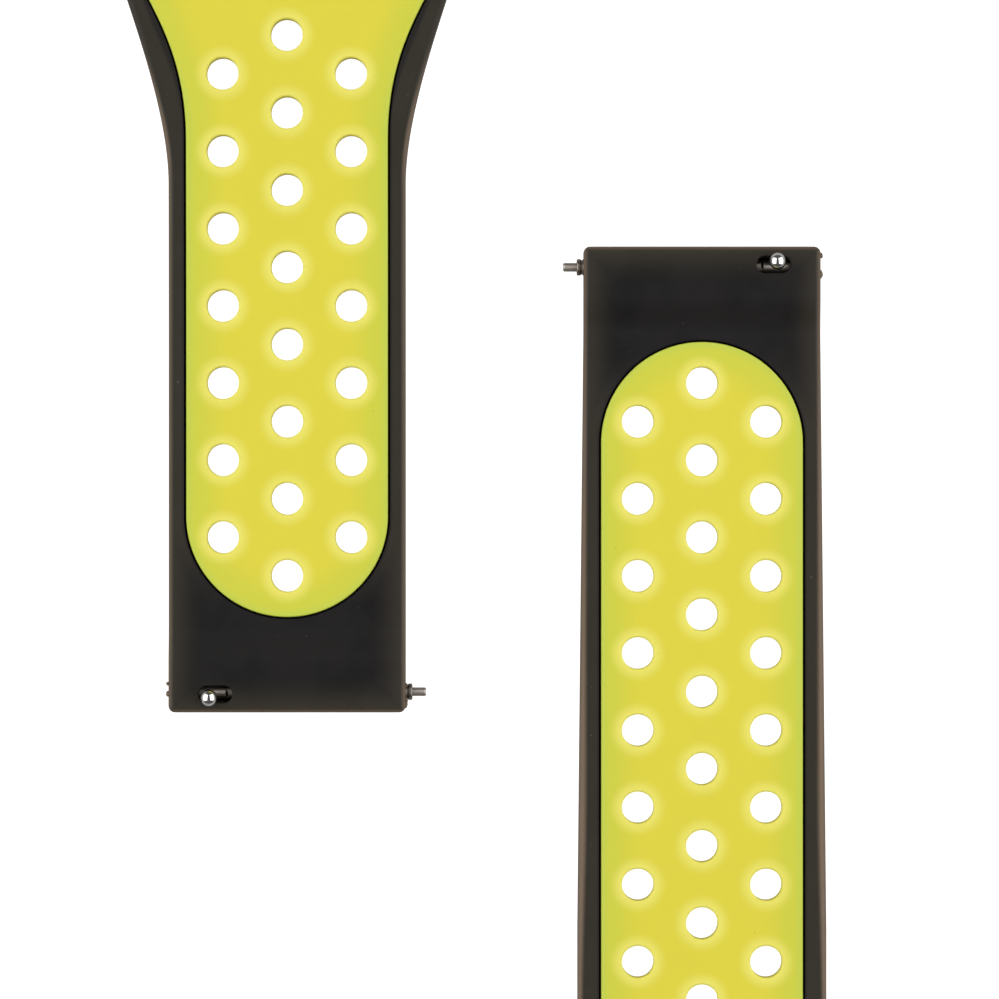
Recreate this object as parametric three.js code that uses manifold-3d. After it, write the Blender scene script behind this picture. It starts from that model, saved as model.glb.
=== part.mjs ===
// Two-piece perforated silicone watch strap with quick-release spring bars.
//
// Both halves lie side by side with the wrist side up. The short half carries the
// closure stud and the slot that the long half's tail is tucked through. Each half is
// a dark outer moulding with a bright liner set into its wrist side, and holds one
// quick-release spring bar at the end that meets the watch case.
//
// Millimetres, +Z up. Each half is built in a frame of its own: its lug end lies on
// y = 0, the strap runs along +Y, its outer face lies on z = 0 and the release lever is
// on the -X side. The pair stands on z = 0 with the origin under its middle.

import * as THREE from "three";
import { mergeGeometries, mergeVertices } from "three/addons/utils/BufferGeometryUtils.js";
import Module from "manifold-3d";

const wasm = await Module();
wasm.setup();

// ---- Driving dimensions -----------------------------------------------------------

// Lay of the pair
const PAIR_SPACING = 37.63; // between the centre lines of the two halves
const LUG_END_STEP = 42.25; // from the short half's lug end to the long half's, along Y

// Both halves
const LUG_WIDTH = 21.5;
const BODY_THICKNESS = 2.3;
const LUG_THICKNESS = 3.0;
const LUG_FLAT = 4.4; // full thickness up to here
const LUG_RAMP_END = 7.8; // body thickness from here on
const LUG_CORNER_RADIUS = 0.6;
const LUG_EDGE_CHAMFER = 0.35;

// Short half
const SHORT_LENGTH = 88;
const HEAD_WIDTH = 32;
const FLARE_START_TO_TIP = 40.05; // from where the sides begin to spread
const FLARE_START_HANDLE = 8.2;
const FLARE_END_TO_TIP = 17.8; // from where the head is at its widest
const FLARE_END_HANDLE = 2.6;
const HEAD_STRAIGHT = 5.5; // of the head's widest part, before the tip turns in
const HEAD_TIP_REACH = 9.4; // half the width of the tip's flattest part

// Long half
const LONG_LENGTH = 130.3;
const LONG_WIDTH = 22.6;
const LONG_TAPER_START = 8;
const LONG_TAPER_END = 62;

// Liner
const LINER_BORDER = 1.6; // dark border left along each side of the lug width
const LINER_THICKNESS = 1.2;
const LINER_START = 8.65; // from the lug end to the liner's round end
const LINER_GROOVE = 0.2; // open groove round the liner
const LINER_SEAT_GAP = 0.06; // under the liner and round its bosses
const LINER_HEAD_BORDER = 2.1; // dark border left each side of the head
const LINER_HEAD_CORNER = 1.6;
const LINER_FLARE_START_TO_TIP = 35.9;
const LINER_FLARE_START_HANDLE = 9.3;
const LINER_FLARE_END_TO_TIP = 19.7;
const LINER_FLARE_END_HANDLE = 2.8;

// Perforation: a middle column, and a column each side half a pitch on
const HOLE_DIAMETER = 2.9;
const HOLE_PITCH = 7.0;
const FIRST_HOLE = 12.38; // from the lug end
const COLUMN_INSET = 3.33; // from the liner's straight side to the side column
const HOLE_MARGIN = 3.7; // least distance from the last hole's centre to the liner's end
const BOSS_WALL = 0.95; // of the liner tube round each hole, through the dark moulding
const HOLE_SIDES = 8;

// Slot that the tail is tucked through
const TUCK_SLOT_SIDE_ROOM = 1.2; // beside the tail
const TUCK_SLOT_ROOM = 2.5; // over the tail's thickness
const TUCK_SLOT_CORNER = 1.4;
const TUCK_SLOT_WALL = 2.3; // between the liner's end and the slot

// Closure stud
const STUD_TIP_DISTANCE = 6.4; // from the strap's tip to the stud's axis
const STUD_NECK_PLAY = 0.3; // by which the neck is thinner than a hole
const STUD_HEAD_GRIP = 0.85; // by which the head covers a hole's rim
const STUD_HEAD_THICKNESS = 1.2;
const STUD_HEAD_DOME = [[0.5, 0.08], [0.86, 0.34], [1, 0.72], [0.93, 1]]; // shares of radius and thickness
const STUD_NECK_FILLET = 0.15;
const STUD_RIVET_DIAMETER = 1.5;
const STUD_BASE_DIAMETER = 7.0;
const STUD_BASE_THICKNESS = 0.5;
const STUD_BASE_CHAMFER = 0.1;
const STUD_CLEARANCE = 0.06;

// How the soft short half rests: flat, then rising to the stud that lifts its tip
const RISE_LENGTH = 57;
const RISE_STEPS = 6;
const FOLD_TOLERANCE = 0.01; // a corner this near a fold is taken as on it

// Spring bar, along X, with its lever towards -X
const BAR_FROM_LUG_END = 1.86;
const BAR_SHIFT = 1.06; // of the bar's middle from the strap's, away from the lever
const BARREL_SHORTFALL = 0.9; // by which the barrel is shorter than the lug width
const BARREL_DIAMETER = 1.5;
const BARREL_WALL = 0.18;
const BARREL_LIP = 0.35; // turned-in end on the lever side
const BARREL_CRIMP = 0.7; // closed-in end that holds the fixed tip
const BARREL_CHAMFER = 0.1;
const CRIMP_GROOVE_INSET = 0.45;
const CRIMP_GROOVE_WIDTH = 0.3;
const CRIMP_GROOVE_DEPTH = 0.12;
const BAR_BORE_CLEARANCE = 0.1; // between barrel and strap, all round

const TIP_DIAMETER = 0.8;
const TIP_CHAMFER = 0.1;
const FIXED_TIP_REACH = 1.25; // past the barrel
const FIXED_TIP_SHANK = 3.0; // inside the barrel
const SPRUNG_TIP_REACH = 1.45;
const SHANK_CLEARANCE = 0.07; // between shank and barrel, all round
const BAR_FIT = 0.05; // running gap between the bar's other pieces

const LEVER_INSET = 2.12; // from the barrel's end to the lever
const LEVER_TRAVEL = 1.2;
const LEVER_LEAN = THREE.MathUtils.degToRad(12); // towards the lug end
const LEVER_POST_DIAMETER = 0.7;
const LEVER_ROOT_DIAMETER = 0.5;
const LEVER_BALL_DIAMETER = 1.52;
const LEVER_BALL_CLEARANCE = 0.09; // between the ball and the wrist face
const BARREL_SLOT_CLEARANCE = 0.08; // round the lever's post
const PLUNGER_BEHIND_LEVER = 1.6;

const SPRING_WIRE = 0.16;
const SPRING_TURNS = 9;

// Slot in the wrist side that the lever stands in
const LEVER_SLOT_WIDTH = 1.5;
const LEVER_SLOT_END_FLAT = 0.02; // straight part of each end
const LEVER_SLOT_FROM_LUG_END = 1.65;
const LEVER_SLOT_OUTER_ROOM = 0.87; // past the resting lever's axis
const LEVER_SLOT_INNER_ROOM = 0.98; // past its axis when it is drawn back

// Fineness of the faceted solids
const CURVE_STEPS = 8;
const CORNER_STEPS = 4;
const ROUND_SIDES = 14;
const SMALL_ROUND_SIDES = 12;
const SPRING_STEPS_PER_TURN = 8;
const SPRING_SIDES = 5;
const BALL_STEPS = 8;

// Running of shapes past and into each other before they are joined or cut
const OVERSHOOT = 1;
const OVERLAP = 0.1;

// ---- Sizes that follow ------------------------------------------------------------

const linerFloor = BODY_THICKNESS - LINER_THICKNESS;
const widest = Math.max(LUG_WIDTH, HEAD_WIDTH, LONG_WIDTH);
const flareStart = SHORT_LENGTH - FLARE_START_TO_TIP;
const flareEnd = SHORT_LENGTH - FLARE_END_TO_TIP;
const linerWidth = LUG_WIDTH - 2 * LINER_BORDER;
const linerHeadWidth = HEAD_WIDTH - 2 * LINER_HEAD_BORDER;
const linerFlareStart = SHORT_LENGTH - LINER_FLARE_START_TO_TIP;
const linerFlareEnd = SHORT_LENGTH - LINER_FLARE_END_TO_TIP;
const shortLinerEnd = linerFlareEnd + LINER_HEAD_CORNER;
const tailRadius = LONG_WIDTH / 2;
const tailCentre = LONG_LENGTH - tailRadius;
const longLinerEnd = tailCentre + linerWidth / 2;
const columnOffset = linerWidth / 2 - COLUMN_INSET;
const bossDiameter = HOLE_DIAMETER + 2 * BOSS_WALL;
const tuckSlotLength = LONG_WIDTH + 2 * TUCK_SLOT_SIDE_ROOM;
const tuckSlotWidth = BODY_THICKNESS + TUCK_SLOT_ROOM;
const tuckSlotCentre = shortLinerEnd + TUCK_SLOT_WALL + tuckSlotWidth / 2;
const studY = SHORT_LENGTH - STUD_TIP_DISTANCE;
const studNeckDiameter = HOLE_DIAMETER - STUD_NECK_PLAY;
const studHeadDiameter = HOLE_DIAMETER + 2 * STUD_HEAD_GRIP;
const studNeckGap = BODY_THICKNESS; // the other half's thickness, under the head
const barAxisHeight = LUG_THICKNESS / 2;
const barHalf = (LUG_WIDTH - BARREL_SHORTFALL) / 2;
const barrelBore = BARREL_DIAMETER - 2 * BARREL_WALL;
const shankDiameter = barrelBore - 2 * SHANK_CLEARANCE;
const springDiameter = shankDiameter - SPRING_WIRE; // to the middle of the wire
const leverX = LEVER_INSET - barHalf; // from the bar's middle
const ballHeight = LUG_THICKNESS - barAxisHeight + LEVER_BALL_CLEARANCE + LEVER_BALL_DIAMETER / 2;
const leverSlotLength = LEVER_SLOT_OUTER_ROOM + LEVER_TRAVEL + LEVER_SLOT_INNER_ROOM;
const leverSlotOuterEnd = BAR_SHIFT + leverX - LEVER_SLOT_OUTER_ROOM;

// ---- Materials --------------------------------------------------------------------

const darkSilicone = new THREE.MeshStandardMaterial({ color: 0x26221f, roughness: 0.72, metalness: 0 });
const brightSilicone = new THREE.MeshStandardMaterial({ color: 0xdfd548, roughness: 0.6, metalness: 0 });
const polishedSteel = new THREE.MeshStandardMaterial({ color: 0xd5d8dc, roughness: 0.16, metalness: 1 });
const turnedSteel = new THREE.MeshStandardMaterial({ color: 0xa9a6a1, roughness: 0.34, metalness: 1 });

// ---- Joining and cutting ----------------------------------------------------------

function toSolid(geometry) {
  const bare = geometry.clone();
  bare.deleteAttribute("normal");
  bare.deleteAttribute("uv");
  const merged = mergeVertices(bare, 1e-5);
  const mesh = new wasm.Mesh({
    numProp: 3,
    vertProperties: new Float32Array(merged.attributes.position.array),
    triVerts: new Uint32Array(merged.index.array),
  });
  return new wasm.Manifold(mesh);
}

function toGeometry(solid) {
  const { vertProperties, triVerts } = solid.getMesh();
  const geometry = new THREE.BufferGeometry();
  geometry.setAttribute("position", new THREE.BufferAttribute(vertProperties, 3));
  geometry.setIndex(new THREE.BufferAttribute(triVerts, 1));
  return geometry.toNonIndexed();
}

function cut(geometry, ...cutters) {
  const solid = cutters.reduce((rest, cutter) => rest.subtract(toSolid(cutter)), toSolid(geometry));
  return toGeometry(solid);
}

// ---- Plain shapes -----------------------------------------------------------------

// A shape from its right-hand side, drawn upwards from the centre line and back to it.
function mirroredShape(rightSide) {
  const right = rightSide.getPoints(CURVE_STEPS);
  const left = right
    .slice(1, -1)
    .reverse()
    .map((point) => new THREE.Vector2(-point.x, point.y));
  return new THREE.Shape([...right, ...left]);
}

function plate(shape, bottom, top) {
  const geometry = new THREE.ExtrudeGeometry(shape, {
    depth: top - bottom,
    bevelEnabled: false,
    curveSegments: CORNER_STEPS,
  });
  return geometry.translate(0, 0, bottom);
}

function uprightRods(places, diameter, bottom, top, sides) {
  const rods = places.map(({ x, y }) => {
    const rod = new THREE.CylinderGeometry(diameter / 2, diameter / 2, top - bottom, sides);
    return rod.rotateX(Math.PI / 2).translate(x, y, (top + bottom) / 2);
  });
  return mergeGeometries(rods);
}

function roundedRectangle(length, width, radius, centreX, centreY) {
  const right = centreX + length / 2;
  const left = centreX - length / 2;
  const top = centreY + width / 2;
  const bottom = centreY - width / 2;
  const shape = new THREE.Shape();
  shape.moveTo(left + radius, bottom);
  shape.lineTo(right - radius, bottom);
  shape.absarc(right - radius, bottom + radius, radius, -Math.PI / 2, 0, false);
  shape.lineTo(right, top - radius);
  shape.absarc(right - radius, top - radius, radius, 0, Math.PI / 2, false);
  shape.lineTo(left + radius, top);
  shape.absarc(left + radius, top - radius, radius, Math.PI / 2, Math.PI, false);
  shape.lineTo(left, bottom + radius);
  shape.absarc(left + radius, bottom + radius, radius, Math.PI, 1.5 * Math.PI, false);
  return shape;
}

// A turned piece from [radius, height] pairs, standing on the Y axis.
function turned(profile, sides) {
  const points = profile.map(([radius, height]) => new THREE.Vector2(radius, height));
  return new THREE.LatheGeometry(points, sides);
}

function turnedAlongX(profile, sides) {
  return turned(profile, sides).rotateZ(-Math.PI / 2);
}

function turnedAlongZ(profile, sides) {
  return turned(profile, sides).rotateX(Math.PI / 2);
}

// ---- Strap outlines ---------------------------------------------------------------

function lugEndOutline() {
  const side = new THREE.Path();
  const half = LUG_WIDTH / 2;
  side.moveTo(0, 0);
  side.lineTo(half - LUG_CORNER_RADIUS, 0);
  side.absarc(half - LUG_CORNER_RADIUS, LUG_CORNER_RADIUS, LUG_CORNER_RADIUS, -Math.PI / 2, 0, false);
  return side;
}

function shortOutline() {
  const half = LUG_WIDTH / 2;
  const headHalf = HEAD_WIDTH / 2;
  const tipStart = flareEnd + HEAD_STRAIGHT;
  const side = lugEndOutline();
  side.lineTo(half, flareStart);
  side.bezierCurveTo(
    half, flareStart + FLARE_START_HANDLE,
    headHalf, flareEnd - FLARE_END_HANDLE,
    headHalf, flareEnd,
  );
  side.lineTo(headHalf, tipStart);
  side.bezierCurveTo(headHalf, (tipStart + SHORT_LENGTH) / 2, HEAD_TIP_REACH, SHORT_LENGTH, 0, SHORT_LENGTH);
  return mirroredShape(side);
}

function longOutline() {
  const side = lugEndOutline();
  side.lineTo(LUG_WIDTH / 2, LONG_TAPER_START);
  side.lineTo(LONG_WIDTH / 2, LONG_TAPER_END);
  side.absarc(0, tailCentre, tailRadius, 0, Math.PI / 2, false);
  return mirroredShape(side);
}

// The liner's outline, or with room round it, the recess that it lies in.
function linerRoundEnd(room) {
  const side = new THREE.Path();
  const radius = linerWidth / 2;
  side.absarc(0, LINER_START + radius, radius + room, -Math.PI / 2, 0, false);
  return side;
}

function shortLinerOutline(room) {
  const half = linerWidth / 2 + room;
  const headHalf = linerHeadWidth / 2 + room;
  const corner = LINER_HEAD_CORNER;
  const side = linerRoundEnd(room);
  side.lineTo(half, linerFlareStart);
  side.bezierCurveTo(
    half, linerFlareStart + LINER_FLARE_START_HANDLE,
    headHalf, linerFlareEnd - LINER_FLARE_END_HANDLE,
    headHalf, linerFlareEnd,
  );
  side.absarc(headHalf - corner - room, linerFlareEnd, corner + room, 0, Math.PI / 2, false);
  side.lineTo(0, shortLinerEnd + room);
  return mirroredShape(side);
}

function longLinerOutline(room) {
  const side = linerRoundEnd(room);
  side.absarc(0, tailCentre, linerWidth / 2 + room, 0, Math.PI / 2, false);
  return mirroredShape(side);
}

// Centres of the holes that fit between the liner's two ends.
function perforation(linerEnd) {
  const rows = Math.floor((linerEnd - HOLE_MARGIN - FIRST_HOLE) / HOLE_PITCH);
  const places = [];
  for (let row = 0; row <= rows; row += 1) {
    const y = FIRST_HOLE + row * HOLE_PITCH;
    places.push({ x: 0, y });
    if (row < rows) {
      places.push({ x: -columnOffset, y: y + HOLE_PITCH / 2 });
      places.push({ x: columnOffset, y: y + HOLE_PITCH / 2 });
    }
  }
  return places;
}

// ---- Strap mouldings --------------------------------------------------------------

// Side view of a strap: thick at the lug end, with a ramp on the wrist side.
function sideProfile(length) {
  const profile = new THREE.Shape();
  profile.moveTo(LUG_EDGE_CHAMFER, 0);
  profile.lineTo(length + OVERSHOOT, 0);
  profile.lineTo(length + OVERSHOOT, BODY_THICKNESS);
  profile.lineTo(LUG_RAMP_END, BODY_THICKNESS);
  profile.lineTo(LUG_FLAT, LUG_THICKNESS);
  profile.lineTo(LUG_EDGE_CHAMFER, LUG_THICKNESS);
  profile.lineTo(0, LUG_THICKNESS - LUG_EDGE_CHAMFER);
  profile.lineTo(0, LUG_EDGE_CHAMFER);
  const width = widest + 2 * OVERSHOOT;
  const slab = new THREE.ExtrudeGeometry(profile, { depth: width, bevelEnabled: false });
  slab.rotateX(Math.PI / 2).rotateZ(Math.PI / 2);
  return slab.translate(-width / 2, 0, 0);
}

function barBore() {
  const radius = BARREL_DIAMETER / 2 + BAR_BORE_CLEARANCE;
  const bore = new THREE.CylinderGeometry(radius, radius, LUG_WIDTH + 2 * OVERSHOOT, ROUND_SIDES);
  return bore.rotateZ(Math.PI / 2).translate(0, BAR_FROM_LUG_END, barAxisHeight);
}

function leverSlot() {
  const shape = roundedRectangle(
    leverSlotLength,
    LEVER_SLOT_WIDTH,
    (LEVER_SLOT_WIDTH - LEVER_SLOT_END_FLAT) / 2,
    leverSlotOuterEnd + leverSlotLength / 2,
    LEVER_SLOT_FROM_LUG_END,
  );
  return plate(shape, barAxisHeight, LUG_THICKNESS + OVERSHOOT);
}

function strapShell(outline, length, recessOutline, holes, extraCuts) {
  const blank = toSolid(plate(outline, -OVERSHOOT, LUG_THICKNESS + OVERSHOOT));
  const body = toGeometry(blank.intersect(toSolid(sideProfile(length))));
  const recess = plate(recessOutline, linerFloor, LUG_THICKNESS + OVERSHOOT);
  const bossHoles = uprightRods(holes, bossDiameter, -OVERSHOOT, linerFloor + OVERLAP, HOLE_SIDES);
  return cut(body, recess, bossHoles, barBore(), leverSlot(), ...extraCuts);
}

function strapLiner(outline, holes) {
  const diameter = bossDiameter - 2 * LINER_SEAT_GAP;
  const skin = toSolid(plate(outline, linerFloor + LINER_SEAT_GAP, BODY_THICKNESS));
  const bosses = toSolid(uprightRods(holes, diameter, LINER_SEAT_GAP, BODY_THICKNESS - OVERLAP, HOLE_SIDES));
  const bores = uprightRods(holes, HOLE_DIAMETER, -OVERSHOOT, BODY_THICKNESS + OVERSHOOT, HOLE_SIDES);
  return cut(toGeometry(skin.add(bosses)), bores);
}

// ---- Closure stud -----------------------------------------------------------------

function tuckSlot() {
  const shape = roundedRectangle(tuckSlotLength, tuckSlotWidth, TUCK_SLOT_CORNER, 0, tuckSlotCentre);
  return plate(shape, -OVERSHOOT, BODY_THICKNESS + OVERSHOOT);
}

// Room in the dark moulding for the stud's neck and the disc that it is riveted to.
function studSeat() {
  const place = [{ x: 0, y: studY }];
  const neckHole = studNeckDiameter + 2 * STUD_CLEARANCE;
  const discHole = STUD_BASE_DIAMETER + 2 * STUD_CLEARANCE;
  const discFloor = BODY_THICKNESS - STUD_BASE_THICKNESS - STUD_CLEARANCE;
  return [
    uprightRods(place, neckHole, -OVERSHOOT, BODY_THICKNESS, ROUND_SIDES),
    uprightRods(place, discHole, discFloor, BODY_THICKNESS + OVERSHOOT, ROUND_SIDES),
  ];
}

function closureStud() {
  const neck = studNeckDiameter / 2;
  const head = studHeadDiameter / 2;
  const rivet = STUD_RIVET_DIAMETER / 2;
  const crown = -studNeckGap - STUD_HEAD_THICKNESS;
  const shoulder = BODY_THICKNESS - STUD_BASE_THICKNESS - STUD_CLEARANCE;
  const profile = [
    [0, crown],
    ...STUD_HEAD_DOME.map(([out, up]) => [head * out, crown + STUD_HEAD_THICKNESS * up]),
    [neck, -studNeckGap + STUD_NECK_FILLET],
    [neck, shoulder],
    [rivet, shoulder],
    [rivet, BODY_THICKNESS],
    [0, BODY_THICKNESS],
  ];
  return turnedAlongZ(profile, ROUND_SIDES).translate(0, studY, 0);
}

function studBase() {
  const outer = STUD_BASE_DIAMETER / 2;
  const hole = STUD_RIVET_DIAMETER / 2 + STUD_CLEARANCE;
  const profile = [
    [hole, BODY_THICKNESS - STUD_BASE_THICKNESS],
    [outer, BODY_THICKNESS - STUD_BASE_THICKNESS],
    [outer, BODY_THICKNESS - STUD_BASE_CHAMFER],
    [outer - STUD_BASE_CHAMFER, BODY_THICKNESS],
    [hole, BODY_THICKNESS],
    [hole, BODY_THICKNESS - STUD_BASE_THICKNESS],
  ];
  return turnedAlongZ(profile, ROUND_SIDES).translate(0, studY, 0);
}

// ---- Resting shape of the short half ----------------------------------------------

// Height of a soft strip lifted by 1 at its stud and still lying flat at riseStart.
const riseStart = studY - RISE_LENGTH;
const riseLevels = Array.from({ length: RISE_STEPS }, (_, k) => riseStart + (k * RISE_LENGTH) / RISE_STEPS);

function softRise(y) {
  const u = THREE.MathUtils.clamp((y - riseStart) / RISE_LENGTH, 0, 1);
  return 2 * u ** 3 - u ** 4;
}

// The same rise in straight stretches between the levels, straight on past the last.
function facetedRise(y) {
  if (y <= riseStart) {
    return 0;
  }
  const step = RISE_LENGTH / RISE_STEPS;
  const stretch = Math.min(Math.floor((y - riseStart) / step), RISE_STEPS - 1);
  const low = riseStart + stretch * step;
  const share = (y - low) / step;
  return softRise(low) * (1 - share) + softRise(low + step) * share;
}

function clipTriangle(triangle, level, side) {
  const kept = [];
  triangle.forEach((point, index) => {
    const next = triangle[(index + 1) % 3];
    const here = side * (point.y - level);
    const there = side * (next.y - level);
    if (here > -FOLD_TOLERANCE) {
      kept.push(point);
    }
    if (Math.abs(here) > FOLD_TOLERANCE && Math.abs(there) > FOLD_TOLERANCE && here * there < 0) {
      const [low, high] = point.y < next.y ? [point, next] : [next, point];
      kept.push(low.clone().lerp(high, (level - low.y) / (high.y - low.y)));
    }
  });
  return kept;
}

function splitAt(triangle, level) {
  const below = triangle.some((point) => point.y < level - FOLD_TOLERANCE);
  const above = triangle.some((point) => point.y > level + FOLD_TOLERANCE);
  if (!below || !above) {
    return [triangle];
  }
  return [1, -1].flatMap((side) => {
    const polygon = clipTriangle(triangle, level, side);
    return polygon.slice(2).map((point, index) => [polygon[0], polygon[index + 1], point]);
  });
}

// Gives a geometry an edge along every level, so that it can bend there.
function scored(geometry, levels) {
  const positions = (geometry.index ? geometry.toNonIndexed() : geometry).attributes.position;
  let triangles = [];
  for (let corner = 0; corner < positions.count; corner += 3) {
    triangles.push([0, 1, 2].map((k) => new THREE.Vector3().fromBufferAttribute(positions, corner + k)));
  }
  levels.forEach((level) => {
    triangles = triangles.flatMap((triangle) => splitAt(triangle, level));
  });
  return new THREE.BufferGeometry().setFromPoints(triangles.flat());
}

function lifted(geometry, height) {
  const bent = scored(geometry, riseLevels);
  const positions = bent.attributes.position;
  for (let k = 0; k < positions.count; k += 1) {
    positions.setZ(k, positions.getZ(k) + height * facetedRise(positions.getY(k)));
  }
  return bent;
}

// The lift at which the stud's head just reaches down to z = 0.
function studLift(stud) {
  const positions = stud.attributes.position;
  let lift = 0;
  for (let k = 0; k < positions.count; k += 1) {
    lift = Math.max(lift, -positions.getZ(k) / facetedRise(positions.getY(k)));
  }
  return lift;
}

// ---- Spring bar -------------------------------------------------------------------

function barrelTube() {
  const outer = BARREL_DIAMETER / 2;
  const inner = barrelBore / 2;
  const tipHole = TIP_DIAMETER / 2 + BAR_FIT;
  const groove = barHalf - CRIMP_GROOVE_INSET;
  const profile = [
    [outer - BARREL_CHAMFER, -barHalf],
    [outer, -barHalf + BARREL_CHAMFER],
    [outer, groove - CRIMP_GROOVE_WIDTH / 2],
    [outer - CRIMP_GROOVE_DEPTH, groove],
    [outer, groove + CRIMP_GROOVE_WIDTH / 2],
    [outer, barHalf - BARREL_CHAMFER],
    [outer - BARREL_CHAMFER, barHalf],
    [tipHole, barHalf],
    [tipHole, barHalf - BARREL_CRIMP],
    [inner, barHalf - BARREL_CRIMP],
    [inner, -barHalf + BARREL_LIP],
    [tipHole, -barHalf + BARREL_LIP],
    [tipHole, -barHalf],
    [outer - BARREL_CHAMFER, -barHalf],
  ];
  const room = LEVER_POST_DIAMETER / 2 + BARREL_SLOT_CLEARANCE;
  const slot = new THREE.BoxGeometry(LEVER_TRAVEL + 2 * room, 2 * room, BARREL_DIAMETER);
  slot.translate(leverX + LEVER_TRAVEL / 2, 0, BARREL_DIAMETER / 2);
  return cut(turnedAlongX(profile, ROUND_SIDES), slot);
}

function fixedTip() {
  const tip = TIP_DIAMETER / 2;
  const shank = shankDiameter / 2;
  const shoulder = barHalf - BARREL_CRIMP - BAR_FIT;
  const end = barHalf + FIXED_TIP_REACH;
  const profile = [
    [0, shoulder - FIXED_TIP_SHANK],
    [shank, shoulder - FIXED_TIP_SHANK],
    [shank, shoulder],
    [tip, shoulder],
    [tip, end - TIP_CHAMFER],
    [tip - TIP_CHAMFER, end],
    [0, end],
  ];
  return turnedAlongX(profile, SMALL_ROUND_SIDES);
}

function sprungTip() {
  const tip = TIP_DIAMETER / 2;
  const shank = shankDiameter / 2;
  const shoulder = -barHalf + BARREL_LIP + BAR_FIT;
  const end = -barHalf - SPRUNG_TIP_REACH;
  const back = leverX + PLUNGER_BEHIND_LEVER;
  const profile = [
    [0, end],
    [tip - TIP_CHAMFER, end],
    [tip, end + TIP_CHAMFER],
    [tip, shoulder],
    [shank, shoulder],
    [shank, back],
    [0, back],
  ];
  const rootHole = LEVER_ROOT_DIAMETER + 2 * BAR_FIT;
  const socket = uprightRods([{ x: leverX, y: 0 }], rootHole, 0, shankDiameter, SMALL_ROUND_SIDES);
  return cut(turnedAlongX(profile, SMALL_ROUND_SIDES), socket);
}

function releaseLever() {
  const root = LEVER_ROOT_DIAMETER / 2;
  const post = LEVER_POST_DIAMETER / 2;
  const ball = LEVER_BALL_DIAMETER / 2;
  const neckAngle = Math.acos(post / ball);
  const profile = [
    [0, BAR_FIT],
    [root, BAR_FIT],
    [root, shankDiameter / 2 + BAR_FIT],
    [post, shankDiameter / 2 + BAR_FIT],
  ];
  for (let step = 0; step < BALL_STEPS; step += 1) {
    const angle = -neckAngle + ((neckAngle + Math.PI / 2) * step) / BALL_STEPS;
    profile.push([ball * Math.cos(angle), ballHeight + ball * Math.sin(angle)]);
  }
  profile.push([0, ballHeight + ball]);
  return turnedAlongZ(profile, ROUND_SIDES).translate(leverX, 0, 0);
}

class SpringCurve extends THREE.Curve {
  constructor(from, to) {
    super();
    this.from = from;
    this.to = to;
  }

  getPoint(t, target = new THREE.Vector3()) {
    const angle = 2 * Math.PI * SPRING_TURNS * t;
    const radius = springDiameter / 2;
    return target.set(
      THREE.MathUtils.lerp(this.from, this.to, t),
      radius * Math.cos(angle),
      radius * Math.sin(angle),
    );
  }
}

function barSpring() {
  const end = SPRING_WIRE / 2 + BAR_FIT;
  const from = leverX + PLUNGER_BEHIND_LEVER + end;
  const to = barHalf - BARREL_CRIMP - BAR_FIT - FIXED_TIP_SHANK - end;
  const section = Array.from({ length: SPRING_SIDES }, (_, k) => {
    const angle = (2 * Math.PI * k) / SPRING_SIDES;
    return new THREE.Vector2(Math.cos(angle), Math.sin(angle)).multiplyScalar(SPRING_WIRE / 2);
  });
  return new THREE.ExtrudeGeometry(new THREE.Shape(section), {
    steps: SPRING_TURNS * SPRING_STEPS_PER_TURN,
    extrudePath: new SpringCurve(from, to),
    bevelEnabled: false,
  });
}

// ---- Assembly ---------------------------------------------------------------------

function piece(name, geometry, material) {
  const bare = geometry.clone();
  bare.deleteAttribute("normal");
  bare.deleteAttribute("uv");
  bare.computeVertexNormals();
  const mesh = new THREE.Mesh(bare, material);
  mesh.name = name;
  return mesh;
}

function springBar(half) {
  const bar = new THREE.Group();
  bar.add(piece(`${half}_bar_barrel`, barrelTube(), turnedSteel));
  bar.add(piece(`${half}_bar_fixed_tip`, fixedTip(), turnedSteel));
  bar.add(piece(`${half}_bar_sprung_tip`, sprungTip(), turnedSteel));
  bar.add(piece(`${half}_bar_lever`, releaseLever(), polishedSteel));
  bar.add(piece(`${half}_bar_spring`, barSpring(), turnedSteel));
  bar.rotation.x = LEVER_LEAN;
  bar.position.set(BAR_SHIFT, BAR_FROM_LUG_END, barAxisHeight);
  return bar;
}

function shortHalf() {
  const holes = perforation(shortLinerEnd);
  const recess = shortLinerOutline(LINER_GROOVE);
  const cuts = [tuckSlot(), ...studSeat()];
  const shell = strapShell(shortOutline(), SHORT_LENGTH, recess, holes, cuts);
  const liner = strapLiner(shortLinerOutline(0), holes);
  const stud = closureStud();
  const lift = studLift(stud);
  const half = new THREE.Group();
  half.add(piece("short_strap_shell", lifted(shell, lift), darkSilicone));
  half.add(piece("short_strap_liner", lifted(liner, lift), brightSilicone));
  half.add(piece("closure_stud", lifted(stud, lift), polishedSteel));
  half.add(piece("stud_base_disc", lifted(studBase(), lift), polishedSteel));
  half.add(springBar("short"));
  return half;
}

function longHalf() {
  const holes = perforation(longLinerEnd);
  const recess = longLinerOutline(LINER_GROOVE);
  const shell = strapShell(longOutline(), LONG_LENGTH, recess, holes, []);
  const liner = strapLiner(longLinerOutline(0), holes);
  const half = new THREE.Group();
  half.add(piece("long_strap_shell", shell, darkSilicone));
  half.add(piece("long_strap_liner", liner, brightSilicone));
  half.add(springBar("long"));
  return half;
}

const shortSide = shortHalf();
const longSide = longHalf();
longSide.position.set(PAIR_SPACING, LUG_END_STEP, 0);
longSide.rotation.z = Math.PI;

const strap = new THREE.Group();
strap.name = "watch_strap";
strap.add(shortSide, longSide);
strap.updateMatrixWorld(true);

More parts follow.
